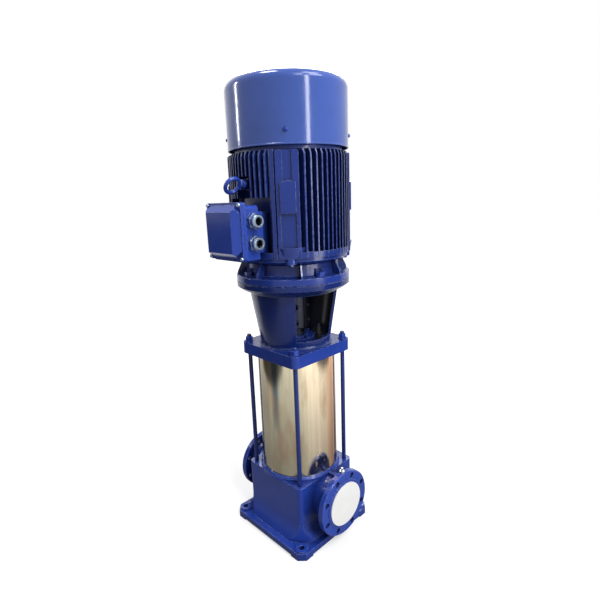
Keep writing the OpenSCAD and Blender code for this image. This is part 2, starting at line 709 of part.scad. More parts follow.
module drive_shield() {
    color(blue) difference() {
        union() {
            rotate_extrude($fn = 128) polygon([[30, joint_z], [register_r, joint_z - register_h],
                [register_r, joint_z], [flange_r - 1.5, joint_z], [flange_r, joint_z + 1.5],
                [flange_r, joint_z + joint_flange_t - 1], [flange_r - 2, joint_z + joint_flange_t],
                [bell_r + 4, joint_z + joint_flange_t], [bell_r - 4, joint_z + joint_flange_t + 4],
                [bell_r - 8, frame_z0 - 24], [bell_r - 2, frame_z0 - 18], [ring_r - 6, frame_z0 - 14],
                [ring_r, frame_z0 - 10], [ring_r, frame_z0],
                [tube_bore, frame_z0], [tube_bore, 900], [bearing_r + 14, 886], [bearing_r + 14, 896],
                [bearing_r + run_gap, 896], [bearing_r + run_gap, drive_bearing_z - 2], [30, drive_bearing_z - 2]]);
            for (k = [0:ribs - 1]) rotate([0, 0, rib_a0 + 360 / ribs * k])
                translate([-2.5, 0, 0]) rotate([90, 0, 90]) linear_extrude(5)
                    polygon([[12 - bell_r, joint_z + 18], [3 - flange_r, joint_z + 18], [4 - flange_r, 882],
                        [21 - flange_r, 917], [21 - flange_r, 924], [12 - bell_r, 924]]);
            for (k = [0:3]) rotate([0, 0, diag + 90 * k]) {
                translate([0, -lug_r, 916]) cylinder(h = frame_z0 - 916, r = 18, $fn = 64);
                translate([-18, -lug_r, 916]) cube([36, 30, frame_z0 - 916]);
            }
        }
        for (k = [0:3]) rotate([0, 0, joint_bolt_a + 90 * k]) translate([0, -joint_bolt_r, joint_z - eps])
            cylinder(h = 30, r = joint_bolt_shank + 0.75, $fn = 48);
        for (k = [0:3]) rotate([0, 0, joint_bolt_a + 90 * k])
            translate([0, -joint_bolt_r, joint_z + joint_flange_t]) cylinder(h = 22, r = 17, $fn = 48);
        for (k = [0:3]) rotate([0, 0, diag + 90 * k]) translate([0, -lug_r, 900]) {
            cylinder(h = 60, r = shield_bolt_s + bolt_gap, $fn = 32);
            cylinder(h = 16, r = 10.5, $fn = 48);
        }
    }
}

module joint_bolts() {
    z = joint_z + joint_flange_t;
    color(blue) for (k = [0:3]) rotate([0, 0, joint_bolt_a + 90 * k]) translate([0, -joint_bolt_r, 0]) {
        translate([0, 0, stool_flange_z - 8]) cylinder(h = z - stool_flange_z + 8, r = joint_bolt_shank, $fn = 48);
        translate([0, 0, z]) cylinder(h = 2, r = 14, $fn = 48);
        translate([0, 0, z + 2]) hexp(24, 10);
    }
}

module shield_bolts() {
    color(blue) for (k = [0:3]) rotate([0, 0, diag + 90 * k]) translate([0, -lug_r, 0]) {
        translate([0, 0, 916]) cylinder(h = 38, r = shield_bolt_s, $fn = 32);
        translate([0, 0, 909]) rotate([0, 0, 30]) hexp(17, 7);
    }
}

eye_z = 1135;
eye_seat_y = fin_r - 2;
fin_base_y_hi = 1156;
fin_base_y_lo = 1098;

module fin_rows() {
    for (s = [-1, 1]) {
        for (k = [0:fins_x - 1]) translate([s > 0 ? tube_bore - 40 : -fin_r, (k - (fins_x - 1) / 2) * fin_pitch - fin_t / 2, frame_z0])
            cube([fin_r - tube_bore + 40, fin_t, frame_z1 - frame_z0]);
        half_y = (fins_y - 1) / 2;
        for (k = [-half_y:half_y]) {
            z0 = s > 0 ? frame_z0 : (abs(k) < 2 ? fin_base_y_hi : fin_base_y_lo);
            translate([k * fin_pitch_y - fin_t / 2, s > 0 ? tube_bore - 40 : -fin_r, z0])
                cube([fin_t, fin_r - tube_bore + 40, frame_z1 - z0]);
        }
    }
}

module pad(a) {
    rotate([0, 0, a]) {
        // column with a shallow strip in its upper face and a set-back face below the block
        difference() {
            translate([0, -tube_bore, (frame_z0 + frame_z1 - 3) / 2]) rotate([90, 0, 0])
                prism(pad_half, (frame_z1 - 3 - frame_z0) / 2, pad_face - tube_bore, 7);
            translate([-12.5, -pad_face - eps, frame_z1 - 80]) cube([25, 4 + eps, 120]);
            translate([-21, -pad_face - eps, frame_z0 + 28]) cube([42, 4 + eps, 96]);
        }
        // block with a domed upper edge
        intersection() {
            translate([-21, -pad_face - 5, frame_z1 - 166]) cube([42, 10, 84]);
            translate([0, 10, frame_z1 - 142]) rotate([90, 0, 0]) cylinder(h = 2 * pad_face, r = 60, $fn = 128);
        }
        // half-round boss that runs out downwards
        translate([0, 49 - pad_face, frame_z0]) cylinder(h = 30, r1 = 51, r2 = 57, $fn = 128);
    }
}

module motor_frame() {
    color(blue) difference() {
        union() {
            ring_z(tube_r, frame_z0, frame_z1 - 2);
            ring_z(fin_r - 1, frame_z0, frame_z0 + ring_h);
            intersection() {
                rotate_extrude($fn = 128) polygon([[tube_bore - 4, frame_z0], [fin_r, frame_z0], [fin_r, frame_z1 - 13],
                    [fin_r - 5, frame_z1], [tube_bore - 4, frame_z1]]);
                fin_rows();
            }
            for (k = [0:3]) pad(diag + 90 * k);
            intersection() {
                cylinder(h = frame_z1, r = fin_r, $fn = 128);
                for (s = [-1, 1]) translate([s > 0 ? 84 : -98, 24 - fin_r, frame_z0])
                    cube([14, 60, frame_z1 - frame_z0 - 2]);
            }
            // pads for the terminal box and the eye bolt
            translate([-58, 12 - fin_r, frame_z0 + 13]) cube([116, 40, 114]);
            along_y_out(0, 45 - eye_seat_y, eye_z) cylinder(h = 45, r = 14, $fn = 64);
            along_y_out(0, 45 - eye_seat_y, eye_z) cylinder(h = 30, r1 = 24, r2 = 16, $fn = 64);
        }
        translate([0, 0, frame_z0 - eps]) cylinder(h = frame_z1 - frame_z0 + 2 * eps, r = tube_bore, $fn = 128);
        along_y_out(0, 25 - eye_seat_y, eye_z) cylinder(h = 60, r = 8 + bolt_gap, $fn = 48);
        along_y_out(0, -120, 1004) cylinder(h = 60, r = 20, $fn = 48);
        for (k = [0:3]) rotate([0, 0, diag + 90 * k]) translate([0, -lug_r, frame_z0 - eps])
            cylinder(h = 26, r = shield_bolt_s + bolt_gap, $fn = 32);
    }
}

module ring_z(r, z0, z1) {
    translate([0, 0, z0]) cylinder(h = z1 - z0, r = r, $fn = 128);
}

rim_r = cowl_r - 18.5;
screw_in = 16;

module fan_shield() {
    color(blue) difference() {
        union() {
            rotate_extrude($fn = 128) polygon([[26, frame_z1 + 2], [tube_bore - 0.2, frame_z1 - 14],
                [tube_bore - 0.2, frame_z1], [rim_r, frame_z1], [rim_r, frame_z1 + 12], [rim_r - 28, frame_z1 + 20],
                [bearing_r + 7, frame_z1 + 20], [bearing_r + 7, frame_z1 + 38], [26, frame_z1 + 38]]);
            for (k = [0:3]) rotate([0, 0, diag + 90 * k]) {
                translate([-11, -cowl_r + cowl_t + 0.6, cowl_screw_z - 10]) cube([22, 30, 20]);
                translate([-11, -rim_r, frame_z1 + 8]) cube([22, 30, cowl_screw_z - frame_z1 + 2]);
            }
        }
        translate([0, 0, fan_bearing_z]) cylinder(h = bearing_h + 1, r = bearing_r + run_gap, $fn = 96);
        for (k = [0:3]) rotate([0, 0, diag + 90 * k]) along_y_out(0, screw_in - cowl_r, cowl_screw_z)
            cylinder(h = 30, r = 3 + bolt_gap, $fn = 32);
    }
}

// Fan cowl: a deep cup with an air grille in its closed end
cowl_c = cowl_r - cowl_corner_r;
cowl_out = [for (a = [0:10:90]) [cowl_c + cowl_corner_r * cos(a), cowl_z1 + cowl_corner_r * sin(a)]];
cowl_in = [for (a = [90:-10:0]) [cowl_c + (cowl_corner_r - cowl_t) * cos(a),
    cowl_z1 + (cowl_corner_r - cowl_t) * sin(a)]];
cowl_top = cowl_z1 + cowl_corner_r;
crown = 4;
grille = [[34, 56, 12], [64, 86, 20], [94, 116, 28]];

module fan_cowl() {
    color(blue) difference() {
        rotate_extrude($fn = 160) polygon(concat([[cowl_r - cowl_t, cowl_z0 + 1], [cowl_r - 1, cowl_z0], [cowl_r + 0.8, cowl_z0],
            [cowl_r + 0.8, cowl_z0 + 3], [cowl_r, cowl_z0 + 4]], cowl_out, [[20, cowl_top + crown], [0, cowl_top + crown],
            [0, cowl_top + crown - cowl_t], [20, cowl_top + crown - cowl_t]], cowl_in));
        for (g = grille) for (i = [0:g[2] - 1]) rotate([0, 0, 360 / g[2] * i])
            translate([g[0], -3.5, cowl_top - 12]) cube([g[1] - g[0], 7, 30]);
        for (k = [0:3]) rotate([0, 0, diag + 90 * k]) along_y_out(0, screw_in - cowl_r, cowl_screw_z)
            cylinder(h = 30, r = 3 + bolt_gap, $fn = 32);
    }
}

module cowl_screws() {
    color(blue) for (k = [0:3]) rotate([0, 0, diag + 90 * k]) {
        along_y_out(0, screw_in - 2 - cowl_r, cowl_screw_z) cylinder(h = screw_in - 1, r = 3, $fn = 32);
        along_y_out(0, -cowl_r - 0.05, cowl_screw_z) cylinder(h = 1.2, r = 6.5, $fn = 32);
        along_y_out(0, -cowl_r - 1.2, cowl_screw_z) difference() {
            cylinder(h = 4.5, r1 = 5.5, r2 = 4, $fn = 32);
            translate([-1, -8, 3]) cube([2, 16, 4]);
        }
    }
}

// Motor inside: stator, windings, shaft, rotor and bearings
core_z0 = frame_z0 + 53;
core_h = frame_z1 - frame_z0 - 108;
core_bore = 80;
air_gap = 0.6;
winding_h = 30;
winding_lo_r = core_bore + 6;
winding_hi_r = tube_bore - 9;
end_ring_h = 20;

module stator_core() {
    color(iron) translate([0, 0, core_z0]) ring(core_bore, tube_bore - bolt_gap, core_h);
}

module stator_windings() {
    color(copper) {
        translate([0, 0, core_z0 - winding_h]) ring(winding_lo_r, winding_hi_r, winding_h);
        translate([0, 0, core_z0 + core_h]) ring(winding_lo_r, winding_hi_r, winding_h);
    }
}

module rotor_core() {
    color(iron) translate([0, 0, core_z0]) ring(30 + bolt_gap, core_bore - air_gap, core_h);
}

module rotor_rings() {
    color(steel) {
        translate([0, 0, core_z0 - end_ring_h]) ring(50, core_bore - 2, end_ring_h);
        translate([0, 0, core_z0 + core_h]) ring(50, core_bore - 2, end_ring_h);
    }
}

module motor_shaft() {
    color(steel) {
        translate([0, 0, stub_z]) cylinder(h = 114, r = stub_r, $fn = 64);
        translate([0, 0, 860]) cylinder(h = 45, r = 25, $fn = 64);
        translate([0, 0, 905]) cylinder(h = 312, r = 30, $fn = 64);
        translate([0, 0, 1217]) cylinder(h = 46, r = 25, $fn = 64);
        translate([0, 0, 1262]) cylinder(h = 84, r = 20, $fn = 64);
    }
}

module bearing_at(z, r0, r1) {
    translate([0, 0, z]) ring(r0, r1, bearing_h);
}

module drive_bearing_outer() {
    color(steel) bearing_at(drive_bearing_z - 2 + 2, 47, bearing_r);
}

module drive_bearing_inner() {
    color(steel) bearing_at(drive_bearing_z, 25 + 0.02, 33);
}

module fan_bearing_outer() {
    color(steel) bearing_at(fan_bearing_z, 47, bearing_r);
}

module fan_bearing_inner() {
    color(steel) bearing_at(fan_bearing_z, 25 + 0.02, 33);
}

module bearing_balls() {
    color(steel) for (z = [drive_bearing_z, fan_bearing_z]) translate([0, 0, z + bearing_h / 2]) {
        difference() {
            ring_c(ball_pitch_r - 3, ball_pitch_r + 3, 6);
            for (i = [0:8]) rotate([0, 0, 40 * i]) translate([ball_pitch_r, 0, 0]) sphere(r = ball_r - 0.5, $fn = 32);
        }
        for (i = [0:8]) rotate([0, 0, 40 * i]) translate([ball_pitch_r, 0, 0]) sphere(r = ball_r, $fn = 32);
    }
}

module ring_c(r0, r1, h) {
    translate([0, 0, -h / 2]) ring(r0, r1, h);
}

fan_z = 1292;
blades = 9;

module cooling_fan() {
    color(dark) difference() {
        union() {
            translate([0, 0, fan_z]) cylinder(h = 50, r = 38, $fn = 64);
            translate([0, 0, fan_z]) cylinder(h = 4, r = 125, $fn = 96);
            for (i = [0:blades - 1]) rotate([0, 0, 360 / blades * i]) translate([36, -2, fan_z])
                cube([114, 4, 62]);
        }
        translate([0, 0, fan_z - eps]) cylinder(h = 80, r = 20 + bolt_gap, $fn = 64);
    }
}

// Terminal box on the frame's side, with lid, screws, terminals and two cable glands
module y_prism(ax, z0, z1, y0, y1, r) {
    translate([0, -y0, (z0 + z1) / 2]) rotate([90, 0, 0]) prism(ax, (z1 - z0) / 2, y1 - y0, r);
}

box_back = fin_r - 12;
ear_x = 70.5;
ear_dz = 6.5;
lid_z0 = box_z0 + 4;
lid_z1 = box_z1 + 9;
gasket_t = 2;
lid_t = 7;

module at_lid_screws() {
    for (x = [-ear_x, ear_x]) for (z = [lid_z0 + ear_dz, lid_z1 - ear_dz]) translate([x, 0, z]) children();
}

module terminal_box() {
    color(blue) difference() {
        union() {
            y_prism(box_half, box_z0, box_z1, box_back + 20, box_front - gasket_t, 9);
            y_prism(box_half - 6, frame_z0 + ring_h + 1, box_z1 - 16, box_back, box_front - gasket_t - 4, 9);
            y_prism(lid_half, lid_z0, lid_z1, box_front - gasket_t - 8, box_front - gasket_t, 9);
            for (z = [gland_z_lo, gland_z_hi]) along_x(box_half - 4, -gland_y, z) cylinder(h = 7, r = 23, $fn = 64);
        }
        y_prism(box_half - 6 - box_wall, frame_z0 + ring_h + 1 + box_wall, box_z1 - box_wall - 16, box_back + box_wall,
            box_front + eps, 6);
        for (z = [gland_z_lo, gland_z_hi]) along_x(box_half - 20, -gland_y, z)
            cylinder(h = 40, r = 16 + bolt_gap, $fn = 64);
        along_y_out(0, -box_back + 5, 1004) cylinder(h = 20, r = 18, $fn = 48);
        at_lid_screws() along_y_out(0, -box_front + 14, 0) cylinder(h = 20, r = 3 + bolt_gap, $fn = 32);
    }
}

module terminal_gasket() {
    color(dark) difference() {
        y_prism(lid_half - 1, lid_z0 + 1, lid_z1 - 1, box_front - gasket_t, box_front, 9);
        y_prism(box_half - 6, box_z0 + 18, box_z1 - 24, box_front - gasket_t - eps, box_front + eps, 6);
        at_lid_screws() along_y_out(0, -box_front + 14, 0) cylinder(h = 20, r = 3 + bolt_gap, $fn = 32);
    }
}

module terminal_lid() {
    y0 = box_front + lid_t;
    z_mid = (lid_z0 + lid_z1) / 2;
    color(blue) difference() {
        union() {
            y_prism(lid_half, lid_z0, lid_z1, box_front, y0, 9);
            intersection() {
                translate([0, 0, lid_z0 - 20]) linear_extrude(lid_z1 - lid_z0 + 40)
                    polygon([[-lid_half + 2, -y0 + 1], [lid_half - 2, -y0 + 1], [55, -y0 - lid_rise], [-55, -y0 - lid_rise]]);
                translate([-lid_half, 0, 0]) rotate([90, 0, 90]) linear_extrude(2 * lid_half)
                    polygon([[-y0 + 1, lid_z0 + 6], [-y0 + 1, lid_z1 - 6], [-y0 - lid_rise, lid_z1 - 24],
                        [-y0 - lid_rise, lid_z0 + 20]]);
                translate([0, -y0 + 2, z_mid]) rotate([90, 45, 0]) translate([-86, -86, 0]) cube([172, 172, lid_rise + 4]);
            }
        }
        translate([0, -box_front - lid_t + 2, z_mid]) rotate([90, 0, 0]) translate([-50, -48, 0]) cube([100, 96, lid_rise - 6]);
        translate([0, -box_front + eps, z_mid]) rotate([90, 0, 0]) translate([-56, -54, 0]) cube([112, 108, lid_t]);
        at_lid_screws() along_y_out(0, -box_front + 14, 0) cylinder(h = 60, r = 3 + bolt_gap, $fn = 32);
    }
}

module lid_screws() {
    y0 = box_front + lid_t;
    color(steel) at_lid_screws() {
        along_y_out(0, -box_front + 12, 0) cylinder(h = lid_t + 12, r = 3, $fn = 32);
        along_y_out(0, -y0, 0) difference() {
            cylinder(h = 4, r1 = 5.5, r2 = 4.5, $fn = 32);
            translate([-8, -0.8, 2.5]) cube([16, 1.6, 3]);
        }
    }
}

module terminal_block() {
    color(dark) translate([-45, -box_back - box_wall - 14, 985]) cube([90, 14, 40]);
    color(copper) for (x = [-30, 0, 30]) for (z = [996, 1014]) along_y_out(x, -box_back - box_wall - 14, z)
        cylinder(h = 16, r = 3, $fn = 32);
}

module gland_bodies() {
    color(blue) for (z = [gland_z_lo, gland_z_hi]) along_x(box_half - 8, -gland_y, z) difference() {
        union() {
            cylinder(h = 12, r = 16, $fn = 64);
            translate([0, 0, 11]) rotate([0, 0, 10]) hexp(38, 8);
            translate([0, 0, 18]) cylinder(h = 12, r = 14, $fn = 64);
        }
        translate([0, 0, -eps]) cylinder(h = 40, r = gland_bore, $fn = 64);
    }
}

module gland_nuts() {
    color(blue) for (z = [gland_z_lo, gland_z_hi]) along_x(box_half - 8 + 19, -gland_y, z) difference() {
        rotate_extrude($fn = 64) polygon([[gland_bore, 12], [14 + bolt_gap, 12], [14 + bolt_gap, 0], [18, 0], [18.5, 1],
            [18.5, 11], [16, 15], [gland_bore, 15]]);
        for (i = [0:11]) rotate([0, 0, 30 * i]) translate([19.4, 0, -eps]) cylinder(h = 11, r = 1.6, $fn = 16);
    }
}

eye_c = eye_seat_y + 36;
eye_ring_r = 21.5;
eye_wire_r = 5.5;
eye_turn = 34;

module eye_bolt() {
    color(blue) {
        along_y_out(0, 18 - eye_seat_y, eye_z) cylinder(h = 30, r = 8, $fn = 48);
        along_y_out(0, -eye_seat_y, eye_z) cylinder(h = 7, r = 14, $fn = 64);
        along_y_out(0, -eye_seat_y - 6, eye_z) cylinder(h = 9, r1 = 11, r2 = 5, $fn = 64);
        translate([0, -eye_c, eye_z - 3]) rotate([0, 90 + eye_turn, 0])
            rotate_extrude($fn = 64) translate([eye_ring_r, 0]) circle(r = eye_wire_r, $fn = 32);
    }
}

// Push-in covers on the two ports
module port_cover(s) {
    translate([0, 0, port_z]) rotate([0, s * 90, 0]) {
        translate([0, 0, port_face_x + raised_h]) cylinder(h = 3, r = 70, $fn = 96);
        translate([0, 0, port_face_x + raised_h - 10]) ring(46, port_bore_r - 0.5, 10.5);
    }
}

module outlet_cover() {
    color(white) port_cover(1);
}

module inlet_cover() {
    color(white) port_cover(-1);
}

base_casting();
outlet_flange();
inlet_flange();
gauge_plug();
barrel();
barrel_gaskets();
drain_plug();
tie_rods();
tie_washers();
tie_nuts();
motor_stool();
pump_head();
seal_gland();
seal_gland_bolts();
vent_plug();
vent_screw();
intake_bowl();
stage_chambers();
guide_vanes();
lower_bearing();
motor_frame();
drive_shield();
fan_shield();
joint_bolts();
shield_bolts();
stator_core();
stator_windings();
drive_bearing_outer();
fan_bearing_outer();
fan_cowl();
cowl_screws();
terminal_box();
terminal_gasket();
terminal_lid();
lid_screws();
terminal_block();
gland_bodies();
gland_nuts();
eye_bolt();
pump_shaft();
impellers();
shaft_sleeves();
shaft_nut();
seal_head();
coupling_half_a();
coupling_half_b();
coupling_bolts();
motor_shaft();
rotor_core();
rotor_rings();
drive_bearing_inner();
fan_bearing_inner();
cooling_fan();
bearing_balls();
outlet_cover();
inlet_cover();
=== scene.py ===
import math

import bpy
import bmesh
from mathutils import Matrix, Vector

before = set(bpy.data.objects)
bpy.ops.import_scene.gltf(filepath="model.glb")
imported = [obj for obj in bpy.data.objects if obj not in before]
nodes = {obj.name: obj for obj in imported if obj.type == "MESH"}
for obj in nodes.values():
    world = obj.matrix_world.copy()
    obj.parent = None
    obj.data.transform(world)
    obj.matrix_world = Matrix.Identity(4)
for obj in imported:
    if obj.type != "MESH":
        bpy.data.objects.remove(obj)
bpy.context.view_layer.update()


def srgb(r, g, b):
    out = []
    for c in (r, g, b):
        c = c / 255.0
        out.append(c / 12.92 if c <= 0.04045 else ((c + 0.055) / 1.055) ** 2.4)
    return (out[0], out[1], out[2], 1.0)


def grey(v):
    return (v, v, v, 1.0)


def scaled(c, k):
    return (min(1.0, c[0] * k), min(1.0, c[1] * k), min(1.0, c[2] * k), 1.0)


class Mat:
    """A procedural material in object coordinates; each method adds a node and gives its output."""

    def __init__(self, name):
        self.m = bpy.data.materials.new(name)
        self.m.use_nodes = True
        self.t = self.m.node_tree
        self.t.nodes.clear()
        self.out = self.n("ShaderNodeOutputMaterial")
        self.p = self.n("ShaderNodeBsdfPrincipled")
        self.t.links.new(self.p.outputs[0], self.out.inputs[0])
        self.coord = self.n("ShaderNodeTexCoord")

    def n(self, kind, **props):
        node = self.t.nodes.new(kind)
        for k, v in props.items():
            setattr(node, k, v)
        return node

    def link(self, a, b):
        self.t.links.new(a, b)

    def stretched(self, x, y, z):
        m = self.n("ShaderNodeMapping")
        m.inputs["Scale"].default_value = (x, y, z)
        self.link(self.coord.outputs["Object"], m.inputs["Vector"])
        return m.outputs[0]

    def noise(self, scale, detail=3.0, rough=0.55, vector=None):
        n = self.n("ShaderNodeTexNoise")
        n.inputs["Scale"].default_value = scale
        n.inputs["Detail"].default_value = detail
        n.inputs["Roughness"].default_value = rough
        self.link(vector or self.coord.outputs["Object"], n.inputs["Vector"])
        return n.outputs["Fac"]

    def ramp(self, value, lo, hi, to_lo=0.0, to_hi=1.0):
        r = self.n("ShaderNodeMapRange")
        r.inputs["From Min"].default_value = lo
        r.inputs["From Max"].default_value = hi
        r.inputs["To Min"].default_value = to_lo
        r.inputs["To Max"].default_value = to_hi
        self.link(value, r.inputs["Value"])
        return r.outputs["Result"]

    def math(self, op, a, b=None, clamp=False):
        n = self.n("ShaderNodeMath", operation=op, use_clamp=clamp)
        for i, v in enumerate((a, b)):
            if v is None:
                continue
            if isinstance(v, (int, float)):
                n.inputs[i].default_value = v
            else:
                self.link(v, n.inputs[i])
        return n.outputs[0]

    def mix(self, fac, a, b, blend="MIX"):
        n = self.n("ShaderNodeMix", data_type="RGBA", blend_type=blend)
        for sock, v in ((n.inputs[0], fac), (n.inputs[6], a), (n.inputs[7], b)):
            if isinstance(v, (int, float)):
                sock.default_value = v
            elif isinstance(v, tuple):
                sock.default_value = v
            else:
                self.link(v, sock)
        return n.outputs[2]

    def edge(self, radius):
        """1 on convex and concave edges narrower than the radius, 0 on flats."""
        b = self.n("ShaderNodeBevel", samples=4)
        b.inputs["Radius"].default_value = radius
        g = self.n("ShaderNodeNewGeometry")
        d = self.n("ShaderNodeVectorMath", operation="DOT_PRODUCT")
        self.link(b.outputs[0], d.inputs[0])
        self.link(g.outputs["Normal"], d.inputs[1])
        return self.ramp(d.outputs["Value"], 0.999, 0.93), b.outputs[0]

    def cavity(self, distance):
        """Low in corners and slots narrower than the distance, 1 in the open."""
        a = self.n("ShaderNodeAmbientOcclusion", samples=4, inside=False)
        a.inputs["Distance"].default_value = distance
        return a.outputs["AO"]

    def bump(self, height, strength, distance, normal=None):
        b = self.n("ShaderNodeBump")
        b.inputs["Strength"].default_value = strength
        b.inputs["Distance"].default_value = distance
        self.link(height, b.inputs["Height"])
        if normal is not None:
            self.link(normal, b.inputs["Normal"])
        return b.outputs[0]


def paint(name, base, rough, cast, peel, radius=0.0012, wear_and_highlight=0.25, painted_cavity_shade=0.35, painted_inner_shade=None, reach=0.02,
          coat=0.22, foot=None):
    """Gloss machinery enamel over a casting or over pressed sheet.

    cast and peel are the strengths of the casting's skin and of the paint's orange peel, wear_and_highlight
    the share of pale colour on edges of the radius, which is partly paint rubbed thin and partly painted
    highlight, painted_cavity_shade the painted shade in slots narrower than reach, painted_inner_shade a
    mask of faces painted nearly black as shade, and foot a height below which a base that is written dark
    as painted shade is lifted again.
    """
    k = Mat(name)
    broad = k.noise(5.0, 4.0)
    mid = k.noise(38.0, 4.0)
    fine = k.noise(420.0, 2.0)
    tone = k.mix(k.ramp(broad, 0.3, 0.7), scaled(base, 0.86), scaled(base, 1.12))
    if foot:
        # base is written dark as painted shade for the part in shade above, and this lifts the foot back up
        height = k.n("ShaderNodeSeparateXYZ")
        k.link(k.coord.outputs["Object"], height.inputs[0])
        clear = k.mix(k.ramp(broad, 0.3, 0.7), scaled(base, 1.9), scaled(base, 2.4))
        tone = k.mix(k.ramp(height.outputs[2], foot, foot - 0.003), tone, clear)
    tone = k.mix(k.ramp(mid, 0.62, 0.78, 0.0, 0.22), tone, scaled(base, 0.7))
    edge, normal = k.edge(radius)
    brk = k.ramp(k.noise(120.0, 3.0), 0.4, 0.6)
    # painted highlight: edges that look up are paler than those at the sides, on top of the pale edge wear
    facing = k.n("ShaderNodeSeparateXYZ")
    k.link(k.n("ShaderNodeNewGeometry").outputs["Normal"], facing.inputs[0])
    wear_and_upward_highlight = k.ramp(facing.outputs[2], 0.1, 0.7, wear_and_highlight, min(1.0, wear_and_highlight * 2.2))
    wear_and_highlight_fac = k.math("MULTIPLY", k.math("MULTIPLY", edge, brk), wear_and_upward_highlight)
    # pale blue edge colour: partly paint rubbed thin, partly painted highlight
    tone = k.mix(wear_and_highlight_fac, tone, (0.42, 0.49, 0.72, 1.0))
    # painted shade: slots and corners narrower than reach are darkened towards a quarter of the base
    ao = k.cavity(reach)
    shade = k.ramp(ao, 0.25, 0.85, painted_cavity_shade, 0.0)
    tone = k.mix(shade, tone, scaled(base, 0.25))
    # painted shade: faces in this mask, inside the stool and round the shaft, are painted nearly black
    if painted_inner_shade:
        tone = k.mix(painted_inner_shade(k), tone, (0.012, 0.015, 0.03, 1.0))
    k.link(tone, k.p.inputs["Base Color"])
    r = k.ramp(mid, 0.25, 0.75, rough - 0.06, rough + 0.06)
    r = k.math("ADD", r, k.ramp(ao, 0.2, 0.7, 0.18, 0.0))
    k.link(r, k.p.inputs["Roughness"])
    n1 = k.bump(mid, cast, 0.0016, normal)
    n2 = k.bump(fine, peel, 0.00025, n1)
    k.link(n2, k.p.inputs["Normal"])
    k.p.inputs["Specular IOR Level"].default_value = 0.22
    k.p.inputs["Coat Weight"].default_value = coat
    k.p.inputs["Coat Roughness"].default_value = 0.1
    return k.m


def metal(name, base, rough, streak=None, grain=0.2, radius=0.0006, dark=0.45):
    """Machined, drawn or polished metal; streak stretches the marks along one way."""
    k = Mat(name)
    vec = k.stretched(*streak) if streak else None
    marks = k.noise(1.0 if streak else 260.0, 5.0, 0.65, vec)
    broad = k.noise(9.0, 3.0)
    tone = k.mix(k.ramp(broad, 0.3, 0.7), scaled(base, 0.88), scaled(base, 1.1))
    tone = k.mix(k.ramp(marks, 0.35, 0.7, 0.0, 0.35), tone, scaled(base, 0.72))
    # painted shade: corners and slots narrower than 15 mm darken towards a quarter of the base
    ao = k.cavity(0.015)
    tone = k.mix(k.ramp(ao, 0.2, 0.75, dark, 0.0), tone, scaled(base, 0.25))
    edge, normal = k.edge(radius)
    # painted highlight: edges are lighter
    k.link(k.mix(k.math("MULTIPLY", edge, 0.3), tone, scaled(base, 1.3)), k.p.inputs["Base Color"])
    k.p.inputs["Metallic"].default_value = 1.0
    k.link(k.ramp(marks, 0.25, 0.75, max(0.03, rough - 0.06), rough + 0.08), k.p.inputs["Roughness"])
    k.link(k.bump(marks, grain, 0.00008, normal), k.p.inputs["Normal"])
    return k.m


def plain(name, base, rough, scale=300.0, grain=0.3, vary=0.12, depth=0.0004, radius=0.0008):
    """Moulded plastic, rubber or varnished parts."""
    k = Mat(name)
    broad = k.noise(14.0, 3.0)
    fine = k.noise(scale, 3.0)
    tone = k.mix(k.ramp(broad, 0.3, 0.7), scaled(base, 1 - vary), scaled(base, 1 + vary))
    edge, normal = k.edge(radius)
    # painted highlight: edges are lighter
    tone = k.mix(k.math("MULTIPLY", edge, 0.2), tone, scaled(base, 1.4))
    # painted shade: corners and slots narrower than 10 mm darken towards half the base
    ao = k.cavity(0.01)
    tone = k.mix(k.ramp(ao, 0.2, 0.7, 0.4, 0.0), tone, scaled(base, 0.5))
    k.link(tone, k.p.inputs["Base Color"])
    k.link(k.ramp(fine, 0.3, 0.7, max(0.02, rough - 0.06), min(1.0, rough + 0.08)), k.p.inputs["Roughness"])
    k.link(k.bump(fine, grain, depth, normal), k.p.inputs["Normal"])
    return k.m


def faces_axis(k):
    """1 where a surface looks at the shaft, 0 where it looks outwards."""
    pos = k.n("ShaderNodeSeparateXYZ")
    k.link(k.coord.outputs["Object"], pos.inputs[0])
    nor = k.n("ShaderNodeSeparateXYZ")
    k.link(k.coord.outputs["Normal"], nor.inputs[0])
    inward = k.math("ADD", k.math("MULTIPLY", pos.outputs[0], nor.outputs[0]),
                    k.math("MULTIPLY", pos.outputs[1], nor.outputs[1]))
    return k.ramp(inward, 0.0, -0.03)


def near_axis(k, radius=0.104, z=0.6):
    """1 inside a radius and above a height, 0 elsewhere."""
    pos = k.n("ShaderNodeSeparateXYZ")
    k.link(k.coord.outputs["Object"], pos.inputs[0])
    r2 = k.math("ADD", k.math("MULTIPLY", pos.outputs[0], pos.outputs[0]),
                k.math("MULTIPLY", pos.outputs[1], pos.outputs[1]))
    inside = k.ramp(r2, radius ** 2, (radius - 0.003) ** 2)
    return k.math("MULTIPLY", inside, k.ramp(pos.outputs[2], z, z + 0.004), clamp=True)


# Painted stand-in for the polished tube's reflections, fitted to colours read from the
# photograph: share of a turn about the axis, colour. It stays put when the light or the view changes.
TUBE_PAINTED_REFLECTIONS = [(0.0, (0.38, 0.32, 0.22)), (0.07, (0.58, 0.47, 0.31)), (0.14, (0.38, 0.34, 0.24)),
              (0.2, (0.3, 0.26, 0.18)), (0.245, (0.4, 0.34, 0.24)), (0.262, (0.52, 0.47, 0.34)),
              (0.276, (0.13, 0.17, 0.18)), (0.29, (0.15, 0.19, 0.2)), (0.305, (0.6, 0.55, 0.4)),
              (0.35, (0.62, 0.56, 0.4)), (0.385, (0.7, 0.63, 0.44)), (0.42, (0.92, 0.78, 0.56)),
              (0.47, (0.94, 0.78, 0.56)), (0.505, (0.88, 0.7, 0.48)), (0.525, (0.76, 0.46, 0.27)),
              (0.545, (0.62, 0.31, 0.17)), (0.56, (0.74, 0.52, 0.34)), (0.585, (0.5, 0.28, 0.17)),
              (0.66, (0.36, 0.22, 0.15)), (0.76, (0.5, 0.42, 0.28)), (0.86, (0.62, 0.52, 0.36)),
              (1.0, (0.38, 0.32, 0.22))]


